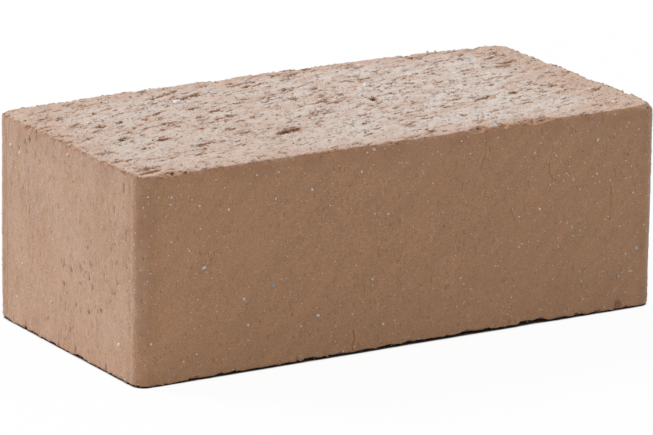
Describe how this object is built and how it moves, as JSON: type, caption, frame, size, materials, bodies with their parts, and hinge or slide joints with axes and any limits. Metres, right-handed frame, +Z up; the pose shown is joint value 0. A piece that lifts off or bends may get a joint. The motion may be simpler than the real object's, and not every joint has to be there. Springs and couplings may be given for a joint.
{
  "type": "clay brick",
  "caption": "Solid fired-clay brick with smooth die-drawn sides, rounded upright corners, and wire-cut beds torn by grit, chipped along the arrises.",
  "frame": {"origin": "middle of the lower bed, where the brick rests on the floor", "axes": "+X along the stretcher face (length), +Y along the header face (width), +Z up through the beds (height, the way the clay left the die)"},
  "size_m": [0.25, 0.12, 0.088],
  "materials": {
    "fired_clay": "matt, unglazed, sandy"
  },
  "bodies": {
    "root": {"brick": "fired_clay"}
  },
  "joints": []
}
